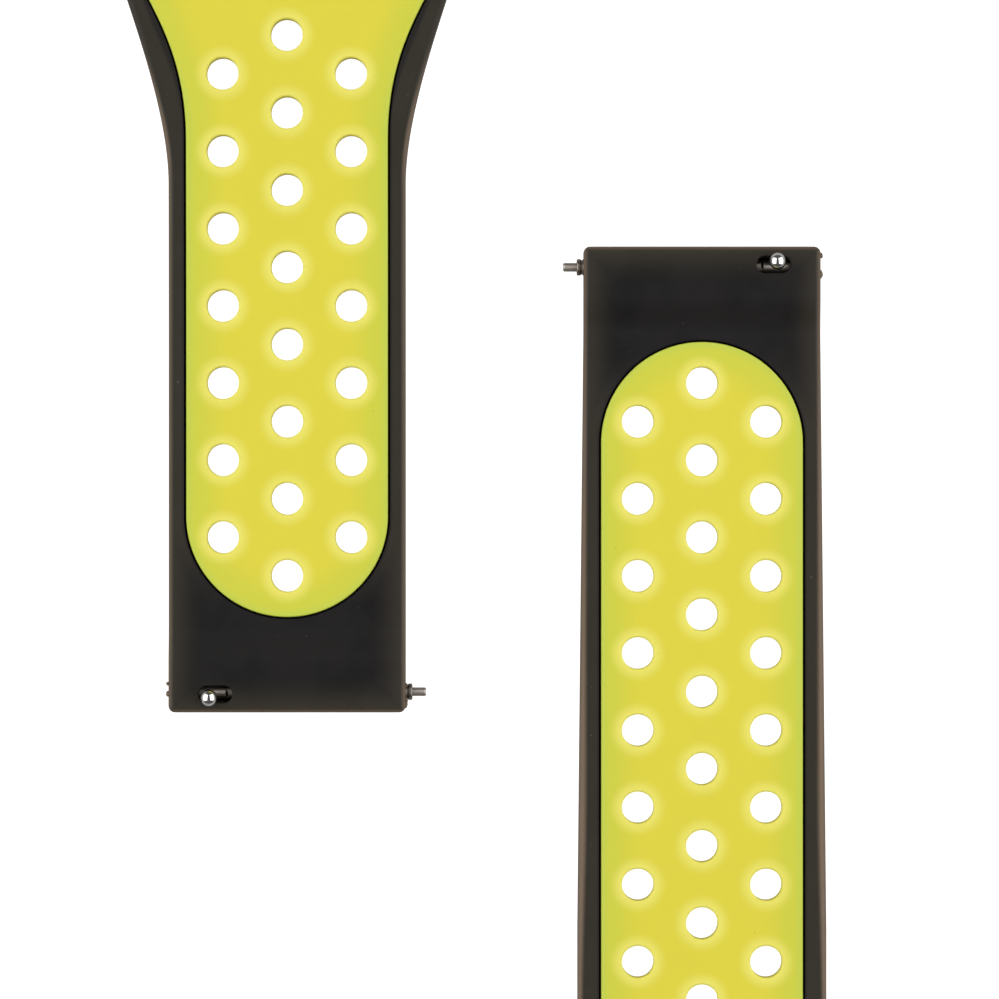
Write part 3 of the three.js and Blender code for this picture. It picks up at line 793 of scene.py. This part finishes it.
def turn(name, profile, steps):
    """A turned piece: a point drawn out along the profile, and spun round the Z axis."""
    bpy.ops.object.select_all(action="DESELECT")
    bpy.ops.mesh.primitive_plane_add(size=1)
    piece = bpy.context.object
    piece.name = name
    bpy.ops.object.mode_set(mode="EDIT")
    bpy.ops.mesh.select_mode(type="VERT")
    bpy.ops.mesh.select_all(action="SELECT")
    bpy.ops.mesh.merge(type="CENTER")
    bpy.ops.mesh.select_all(action="SELECT")
    radius, height = profile[0]
    bpy.ops.transform.translate(value=(radius, 0, height))
    for next_radius, next_height in profile[1:]:
        step = (next_radius - radius, 0, next_height - height)
        bpy.ops.mesh.extrude_vertices_move(TRANSFORM_OT_translate={"value": step})
        radius, height = next_radius, next_height
    bpy.ops.mesh.select_all(action="SELECT")
    bpy.ops.mesh.spin(steps=steps, angle=2 * math.pi, center=(0, 0, 0), axis=(0, 0, 1))
    bpy.ops.mesh.select_all(action="SELECT")
    bpy.ops.mesh.remove_doubles(threshold=0.0005)
    bpy.ops.mesh.normals_make_consistent(inside=False)
    bpy.ops.object.mode_set(mode="OBJECT")
    return piece


def hole_cutter():
    """A rod the size of a hole, spreading at both ends to round the hole's rims."""
    bore = hole_diameter / 2
    top = hole_rim_rounding
    foot = hole_foot_rounding
    past = 0.05
    beyond = 0.6
    profile = [(0, -beyond), (bore + foot + past, -beyond)]
    profile += [(bore + foot + past, liner_seat_gap - past)]
    profile += [(bore + r, liner_seat_gap + h) for r, h in arc(foot, foot, foot, 250, 180, 3)]
    profile += [(bore + r, h) for r, h in arc(top, body_thickness - top, top, 180, 105, 4)]
    profile += [(bore + top + past, body_thickness + past)]
    profile += [(bore + top + past, body_thickness + beyond), (0, body_thickness + beyond)]
    return turn("hole", profile, hole_sides)


def liner(half, outline):
    """One liner, with its bosses and its holes."""
    underside = body_thickness - liner_thickness + liner_seat_gap
    boss = boss_diameter - 2 * liner_seat_gap
    piece = plate(f"{half}_liner", outline, underside, body_thickness)
    round_off(piece, liner_edge_rounding, 4, rim_at(body_thickness))
    score(piece, half)
    bosses = rods(hole_places(half), boss, liner_seat_gap, underside + boss_overlap, 32)
    boolean(piece, bosses, "UNION")
    boolean(piece, copies(hole_cutter(), hole_places(half)), "DIFFERENCE")
    bend(piece, half)
    return piece


def hole_distance_group():
    """Distance from the middle of the nearest hole, in millimetres."""
    inputs = [("Position", "NodeSocketVector"), ("Last Hole", "NodeSocketFloat")]
    tree, given, result = start_group("hole_distance", inputs, ["Distance"])
    axes = add_node(tree, "ShaderNodeSeparateXYZ", {0: given.outputs[0]})
    across, along = axes.outputs[0], axes.outputs[1]
    within = sums(tree, "MAXIMUM", sums(tree, "MINIMUM", along, given.outputs[1]), first_hole)
    beyond = sums(tree, "SUBTRACT", along, within)

    def distance(sideways, offset):
        from_first = sums(tree, "SUBTRACT", within, first_hole + offset)
        steps = sums(tree, "DIVIDE", from_first, hole_pitch)
        past = sums(tree, "SUBTRACT", steps, sums(tree, "ROUND", steps))
        lengthways = sums(tree, "ABSOLUTE", sums(tree, "MULTIPLY", past, hole_pitch))
        lengthways = sums(tree, "ADD", lengthways, sums(tree, "ABSOLUTE", beyond))
        return length_of(tree, sideways, lengthways)

    middle = distance(across, 0.0)
    from_column = sums(tree, "SUBTRACT", sums(tree, "ABSOLUTE", across), column_offset)
    beside = distance(from_column, hole_pitch / 2)
    tree.links.new(sums(tree, "MINIMUM", middle, beside), result.inputs[0])
    return tree


hole_distance = hole_distance_group()


def bright_silicone_material(half):
    """Yellow-green silicone with painted light: yellower in the middle and greener by its edge for
    light scattered in it, and paler where light comes up the holes.
    """
    material, tree, shader, place = start_material(f"bright_silicone_{half}", half)
    grain = add_node(tree, "ShaderNodeGroup", node_tree=moulded_grain)
    specks = add_node(tree, "ShaderNodeGroup", node_tree=dust)
    hole = add_node(tree, "ShaderNodeGroup", node_tree=hole_distance)
    edge = add_node(tree, "ShaderNodeGroup", node_tree=liner_edge)
    for group in (grain, specks, hole, edge):
        tree.links.new(place, group.inputs["Position"])
    grain.inputs["Fineness"].default_value = 11.0
    specks.inputs["Share"].default_value = 0.012
    hole.inputs["Last Hole"].default_value = first_hole + (hole_rows[half] - 1) * hole_pitch
    edge.inputs["Tail Centre"].default_value = liner_tail_centre[half]
    edge.inputs["Spread"].default_value = liner_spread[half]

    yellow = (0.755, 0.672, 0.050, 1)
    green = (0.64, 0.650, 0.055, 1)
    rim_light_green = (0.56, 0.645, 0.074, 1)
    hole_glow = (0.86, 0.80, 0.16, 1)
    shaded = (0.66, 0.58, 0.04, 1)
    lint = (0.2, 0.17, 0.06, 1)
    # Painted light: yellower in the middle, greener towards the edge and paler green along the very
    # edge, for light scattered in the translucent silicone.
    field = blend_colours(tree, ease(tree, edge.outputs[0], 0.8, 4.2), green, yellow)
    field = blend_colours(tree, ease(tree, edge.outputs[0], 0.1, 0.9, 1.0, 0.0), field, rim_light_green)
    # Painted glow: paler round each hole, for light that comes up the hole through the silicone.
    field = blend_colours(tree, ease(tree, hole.outputs[0], 1.5, 2.75, 0.9, 0.0), field, hole_glow)
    patches = grain.outputs["Patches"]
    field = blend_colours(tree, sums(tree, "MULTIPLY", patches, 0.12), field, shaded)
    field = blend_colours(tree, specks.outputs["Specks"], field, lint)
    tree.links.new(field, shader.inputs["Base Color"])
    tree.links.new(ease(tree, patches, 0, 1, 0.46, 0.58), shader.inputs["Roughness"])
    tree.links.new(bumps(tree, grain.outputs["Height"], 0.3, 0.02), shader.inputs["Normal"])
    shader.inputs["IOR"].default_value = 1.41
    shader.inputs["Subsurface Weight"].default_value = 0.25
    shader.inputs["Subsurface Radius"].default_value = (1.0, 0.85, 0.25)
    shader.inputs["Subsurface Scale"].default_value = 0.5 * MM
    return material


short_liner = liner("short", short_liner_outline(0))
short_bright = bright_silicone_material("short")
finish_piece(
    short_liner, "short", "short_strap_liner", "short_strap", short_bright
)

long_liner = liner("long", long_liner_outline(0))
long_bright = bright_silicone_material("long")
finish_piece(long_liner, "long", "long_strap_liner", "long_strap", long_bright)


# ---- Closure stud and its disc ---------------------------------------------------------
# A mushroom stud, turned from steel and polished, is pushed through a hole of the other
# half to fasten the strap. Its neck goes through the dark moulding and is riveted over a
# steel disc that lies flush with the wrist side.

stud_head_overhang = 0.85
stud_head_diameter = hole_diameter + 2 * stud_head_overhang
stud_head_thickness = 1.2
stud_head_edge = 0.32
stud_head_rounding = 0.25
stud_neck_rounding = 0.15
stud_under_head = -body_thickness
rivet_break = 0.06
disc_rounding = 0.18
disc_break = 0.05
disc_ring = (0.75, 1.0)  # its outer and inner side, inwards from the disc's edge
disc_ring_depth = 0.05


def make_stud():
    """The stud, head down: dome, rounded edge, neck, shoulder and riveted end."""
    head = stud_head_diameter / 2
    neck = stud_neck_diameter / 2
    rivet = stud_rivet_diameter / 2
    edge = stud_under_head - stud_head_edge
    dome = stud_head_thickness - stud_head_edge
    shoulder = body_thickness - stud_disc_thickness - stud_clearance
    profile = [(0, edge - dome)]
    for degrees in range(-84, 0, 6):
        angle = math.radians(degrees)
        profile.append((head * math.cos(angle), edge + dome * math.sin(angle)))
    rim = stud_head_rounding
    profile += arc(head - rim, stud_under_head - rim, rim, 0, 90, 5)
    root = stud_neck_rounding
    profile += arc(neck + root, stud_under_head + root, root, 270, 180, 4)
    profile += [(neck, shoulder), (rivet, shoulder), (rivet, body_thickness - rivet_break)]
    profile += [(rivet - rivet_break, body_thickness), (0, body_thickness)]
    return turn("stud_turned", profile, 64)


def make_stud_disc():
    """The disc, with a rounded edge and a shallow ring turned in its face."""
    outer = stud_disc_diameter / 2
    hole = stud_rivet_diameter / 2 + stud_clearance
    bottom = body_thickness - stud_disc_thickness
    ring_floor = body_thickness - disc_ring_depth
    profile = [(hole, bottom), (outer - disc_break, bottom), (outer, bottom + disc_break)]
    rim = disc_rounding
    profile += arc(outer - rim, body_thickness - rim, rim, 0, 90, 5)
    profile += [
        (outer - disc_ring[0], body_thickness),
        (outer - disc_ring[0] - disc_ring_depth, ring_floor),
        (outer - disc_ring[1] + disc_ring_depth, ring_floor),
        (outer - disc_ring[1], body_thickness),
        (hole + disc_break, body_thickness),
        (hole, body_thickness - disc_break),
        (hole, bottom),
    ]
    return turn("stud_disc_turned", profile, 72)


def turning_marks_group():
    """Fine rings left by the lathe, and the light marks of handling."""
    inputs = [
        ("Position", "NodeSocketVector"),
        ("Along", "NodeSocketFloat"),
        ("Pitch", "NodeSocketFloat"),
    ]
    tree, given, result = start_group("turning_marks", inputs, ["Rings", "Wear"])
    along = sums(tree, "DIVIDE", given.outputs[1], given.outputs[2])
    line = {"W": along, "Scale": 1.0, "Detail": 2.0}
    rings = add_node(tree, "ShaderNodeTexNoise", line, noise_dimensions="1D")
    tree.links.new(rings.outputs[0], result.inputs[0])
    tree.links.new(ease(tree, noise(tree, given.outputs[0], 1.6, 5.0), 0.35, 0.7), result.inputs[1])
    return tree


turning_marks = turning_marks_group()


def steel_material(name, along, colour, worn_colour, rough, pitch, depth):
    """Turned steel. The rings follow x along a bar, z up a lever, or the radius of the stud."""
    material, tree, shader, place = start_material(name)
    marks = add_node(tree, "ShaderNodeGroup", node_tree=turning_marks)
    tree.links.new(place, marks.inputs["Position"])
    marks.inputs["Pitch"].default_value = pitch
    if along == "radius":
        axes = add_node(tree, "ShaderNodeSeparateXYZ", {0: place})
        reach = length_of(tree, axes.outputs[0], sums(tree, "SUBTRACT", axes.outputs[1], stud_y))
    else:
        reach = add_node(tree, "ShaderNodeSeparateXYZ", {0: place}).outputs[along]
    tree.links.new(reach, marks.inputs["Along"])
    wear = marks.outputs["Wear"]
    tree.links.new(blend_colours(tree, wear, colour, worn_colour), shader.inputs["Base Color"])
    tree.links.new(ease(tree, wear, 0, 1, rough, rough + 0.1), shader.inputs["Roughness"])
    tree.links.new(bumps(tree, marks.outputs["Rings"], 0.5, depth), shader.inputs["Normal"])
    shader.inputs["Metallic"].default_value = 1.0
    return material


polished = (0.80, 0.79, 0.77, 1)
polished_worn = (0.68, 0.67, 0.65, 1)
stud_steel = steel_material(
    "polished_steel_stud", "radius", polished, polished_worn, rough=0.09, pitch=0.05, depth=0.002
)

stud = make_stud()
stud_disc = make_stud_disc()
for piece, node in ((stud, "closure_stud"), (stud_disc, "stud_base_disc")):
    piece.data.transform(Matrix.Translation((0, stud_y, 0)))
    bend(piece, "short")
    finish_piece(piece, "short", node, "short_strap", stud_steel)


# ---- Quick-release spring bars ---------------------------------------------------------
# Each bar is a thin turned steel tube with a tip at both ends. One tip is held by a
# crimp. The other is a plunger that a coil spring pushes out, and a lever with a ball
# end stands up from it, through slots in the tube and the strap, to draw it back.

barrel_half = barrel_length / 2
barrel_wall = 0.18
barrel_bore = barrel_diameter - 2 * barrel_wall
barrel_lip = 0.35
barrel_crimp = 0.7
barrel_rounding = 0.12
crimp_groove = (0.45, 0.09, 0.14)  # distance from the tube's end, depth, half its width
tip_diameter = 0.8
tip_nose_rounding = 0.16
shank_clearance = 0.07
shank_diameter = barrel_bore - 2 * shank_clearance
bar_fit = 0.05
fixed_tip_reach = 1.25
fixed_tip_shank = 3.0
sprung_tip_reach = 1.45
plunger_behind_lever = 1.6
lever_lean = math.radians(12)
lever_askew = {"short": math.radians(2), "long": math.radians(8)}  # along the bar, inwards
lever_root_diameter = 0.5
lever_post_diameter = 0.7
lever_ball_diameter = 1.52
lever_ball_above_face = 0.09
lever_ball_height = lug_thickness - bar_height + lever_ball_above_face + lever_ball_diameter / 2
barrel_slot_clearance = 0.08
barrel_slot_inner_room = 0.14
spring_wire = 0.16
spring_diameter = shank_diameter - spring_wire
spring_turns = 12
spring_start = lever_from_bar_middle + plunger_behind_lever + bar_fit
spring_stop = barrel_half - barrel_crimp - 2 * bar_fit - fixed_tip_shank


def along_bar(piece):
    """Lays a piece that stands on Z along the bar, with its top towards +X."""
    piece.data.transform(Matrix.Rotation(math.pi / 2, 4, "Y"))


def make_barrel():
    """The tube: lip, crimped end with its groove, and the slot that the lever moves in."""
    outer = barrel_diameter / 2
    inner = barrel_bore / 2
    tip_hole = tip_diameter / 2 + bar_fit
    inset, depth, spread = crimp_groove
    groove = barrel_half - inset
    bottom = outer - depth
    brink = 0.04
    slope = 0.05
    hole_break = 0.03
    turn_in = outer - barrel_rounding
    profile = arc(turn_in, -barrel_half + barrel_rounding, barrel_rounding, -90, 0, 5)
    profile += [
        (outer, groove - spread),
        (outer - brink, groove - spread + slope),
        (bottom, groove - slope),
        (bottom, groove + slope),
        (outer - brink, groove + spread - slope),
        (outer, groove + spread),
    ]
    profile += arc(turn_in, barrel_half - barrel_rounding, barrel_rounding, 0, 90, 5)
    profile += [
        (tip_hole + hole_break, barrel_half),
        (tip_hole, barrel_half - hole_break),
        (tip_hole, barrel_half - barrel_crimp),
        (inner, barrel_half - barrel_crimp),
        (inner, -barrel_half + barrel_lip),
        (tip_hole, -barrel_half + barrel_lip),
        (tip_hole, -barrel_half),
        (turn_in, -barrel_half),
    ]
    piece = turn("barrel", profile, 48)
    along_bar(piece)
    room = lever_post_diameter / 2 + barrel_slot_clearance
    stroke = lever_travel + barrel_slot_inner_room
    middle = lever_from_bar_middle + stroke / 2
    outline = rounded_rectangle(stroke + 2 * room, 2 * room, room - 0.01, middle, 0)
    boolean(piece, plate("barrel_slot", outline, 0, barrel_diameter), "DIFFERENCE")
    return piece


def make_tip(name, back, seat, reach):
    """A tip: a shank inside the barrel, and a thinner end with a rounded nose."""
    shank = shank_diameter / 2
    tip = tip_diameter / 2
    nose = tip_nose_rounding
    end = barrel_half + reach
    profile = [(0, back), (shank - 0.08, back), (shank, back + 0.08), (shank, seat), (tip, seat)]
    profile += arc(tip - nose, end - nose, nose, 0, 90, 5) + [(0, end)]
    piece = turn(name, profile, 40)
    along_bar(piece)
    return piece


def make_fixed_tip():
    """The crimped tip, towards +X."""
    seat = barrel_half - barrel_crimp - bar_fit
    return make_tip("fixed_tip", seat - fixed_tip_shank, seat, fixed_tip_reach)


def make_sprung_tip():
    """The plunger, towards -X, with a socket for the lever's root."""
    back = -(lever_from_bar_middle + plunger_behind_lever)
    piece = make_tip("sprung_tip", back, barrel_half - barrel_lip - bar_fit, sprung_tip_reach)
    piece.data.transform(Matrix.Rotation(math.pi, 4, "Z"))
    bore = lever_root_diameter + 2 * bar_fit
    boolean(piece, rods([(lever_from_bar_middle, 0)], bore, 0, shank_diameter, 24), "DIFFERENCE")
    return piece


def make_lever():
    """The release lever: root, post and ball, turned in one."""
    root = lever_root_diameter / 2
    post = lever_post_diameter / 2
    ball = lever_ball_diameter / 2
    foot = shank_diameter / 2 + bar_fit
    neck = math.degrees(math.acos(post / ball))
    profile = [(0, bar_fit), (root, bar_fit), (root, foot), (post, foot)]
    profile += arc(0, lever_ball_height, ball, -neck + 3, 90, 20)
    profile[-1] = (0, lever_ball_height + ball)
    piece = turn("lever", profile, 48)
    piece.data.transform(Matrix.Translation((lever_from_bar_middle, 0, 0)))
    return piece


def make_spring():
    """The coil spring: a circle of wire beside the bar's axis, screwed along it."""
    start = spring_start + spring_wire / 2
    stop = spring_stop - spring_wire / 2
    bpy.ops.object.select_all(action="DESELECT")
    bpy.ops.mesh.primitive_circle_add(vertices=10, radius=spring_wire / 2, fill_type="NOTHING")
    piece = bpy.context.object
    piece.name = "spring"
    beside = Matrix.Translation((spring_diameter / 2, 0, start))
    piece.data.transform(beside @ Matrix.Rotation(math.pi / 2, 4, "X"))
    coil = piece.modifiers.new("coil", "SCREW")
    coil.axis = "Z"
    coil.angle = 2 * math.pi
    coil.iterations = spring_turns
    coil.screw_offset = (stop - start) / spring_turns
    coil.steps = 24
    coil.render_steps = 24
    bpy.ops.object.modifier_apply(modifier=coil.name)
    bpy.ops.object.mode_set(mode="EDIT")
    bpy.ops.mesh.select_mode(type="EDGE")
    bpy.ops.mesh.select_all(action="DESELECT")
    bpy.ops.mesh.select_non_manifold()
    bpy.ops.mesh.edge_face_add()
    bpy.ops.mesh.select_all(action="SELECT")
    bpy.ops.mesh.normals_make_consistent(inside=False)
    bpy.ops.object.mode_set(mode="OBJECT")
    along_bar(piece)
    return piece


turned = (0.62, 0.55, 0.49, 1)
turned_worn = (0.50, 0.44, 0.39, 1)
# The barrel's steel is darker than the tips' as painted shade, for the shade it lies in down the
# bore and in the lever's slot; its worn tone adds the real handling marks.
shaded_barrel_tone = (0.34, 0.30, 0.26, 1)
shaded_barrel_worn = (0.25, 0.22, 0.19, 1)
tip_steel = steel_material(
    "turned_steel_tip", "X", turned, turned_worn, rough=0.34, pitch=0.05, depth=0.003
)
shaded_barrel_steel = steel_material(
    "turned_steel_barrel", "X", shaded_barrel_tone, shaded_barrel_worn, rough=0.30, pitch=0.05, depth=0.003
)
lever_steel = steel_material(
    "polished_steel_lever", "Z", polished, polished_worn, rough=0.06, pitch=0.08, depth=0.001
)

bar_pieces = (
    (make_barrel(), "barrel", "bar", shaded_barrel_steel, "turned_steel"),
    (make_fixed_tip(), "fixed_tip", "bar", tip_steel, "turned_steel"),
    (make_spring(), "spring", "bar", tip_steel, "turned_steel"),
    (make_sprung_tip(), "sprung_tip", "release", tip_steel, "turned_steel"),
    (make_lever(), "lever", "release", lever_steel, "polished_steel"),
)
bar_place = Matrix.Translation((bar_shift, bar_from_lug_end, bar_height))
leaning = Matrix.Rotation(lever_lean, 4, "X")

for pattern, part, body, material, slot_name in bar_pieces:
    pattern.data.transform(bar_place @ leaning)
    for half in halves:
        made = pattern.copy()
        made.data = pattern.data.copy()
        made.name = f"{half}_{part}"
        bpy.context.scene.collection.objects.link(made)
        if part == "lever":
            root = bar_place @ Matrix.Translation((lever_from_bar_middle, 0, 0))
            askew = Matrix.Rotation(lever_askew[half], 4, "Y")
            made.data.transform(root @ askew @ root.inverted())
        finish_piece(made, half, f"{half}_bar_{part}", f"{half}_{body}", material)
        if part == "spring":
            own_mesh(made)
    bpy.data.objects.remove(pattern)


# ---- Table and light -------------------------------------------------------------------
# The strap lies on a plain white light table between two tall soft boxes, one each side
# of the camera, so the ground is pure white and the edges of the silicone are lit.

table_size = 3.0
table_tones = ((0.36, 0.36, 0.36, 1), (0.40, 0.40, 0.40, 1))
box_length = 0.80
box_width = 0.60
box_power = 2.72
box_place = (0.36, 0.06, 0.30)
box_aim = (0, 0.02, 0)
room_light = 0.10


def white_table():
    """A wide translucent sheet, lit from below so that it looks pure white from any side."""
    bpy.ops.object.select_all(action="DESELECT")
    bpy.ops.mesh.primitive_plane_add(size=table_size, location=(0, 0, 0))
    table = bpy.context.object
    table.name = "table"
    material, tree, shader, place = start_material("table_white")
    tone = blend_colours(tree, noise(tree, place, 0.01), *table_tones)
    seen = add_node(tree, "ShaderNodeLightPath").outputs["Is Camera Ray"]
    tree.links.new(tone, shader.inputs["Base Color"])
    tree.links.new(seen, shader.inputs["Emission Strength"])
    shader.inputs["Roughness"].default_value = 0.6
    shader.inputs["Emission Color"].default_value = (1, 1, 1, 1)
    table.data.materials.append(material)


def soft_box(name, side):
    """A long soft box beside the camera, level with the strap's length and turned to it."""
    light_data = bpy.data.lights.new(name, "AREA")
    light_data.shape = "RECTANGLE"
    light_data.size = box_length
    light_data.size_y = box_width
    light_data.energy = box_power
    light = bpy.data.objects.new(name, light_data)
    bpy.context.scene.collection.objects.link(light)
    x, y, z = box_place
    light.location = (side * x, y, z)
    towards = Vector(box_aim) - light.location
    light.rotation_euler = towards.to_track_quat("-Z", "Y").to_euler()


def studio():
    """The pale room round the table."""
    world = bpy.data.worlds.new("studio")
    world.use_nodes = True
    background = world.node_tree.nodes["Background"]
    background.inputs["Color"].default_value = (1, 1, 1, 1)
    background.inputs["Strength"].default_value = room_light
    bpy.context.scene.world = world


white_table()
soft_box("soft_box_left", -1)
soft_box("soft_box_right", 1)
studio()
bpy.context.scene.view_settings.view_transform = "Standard"
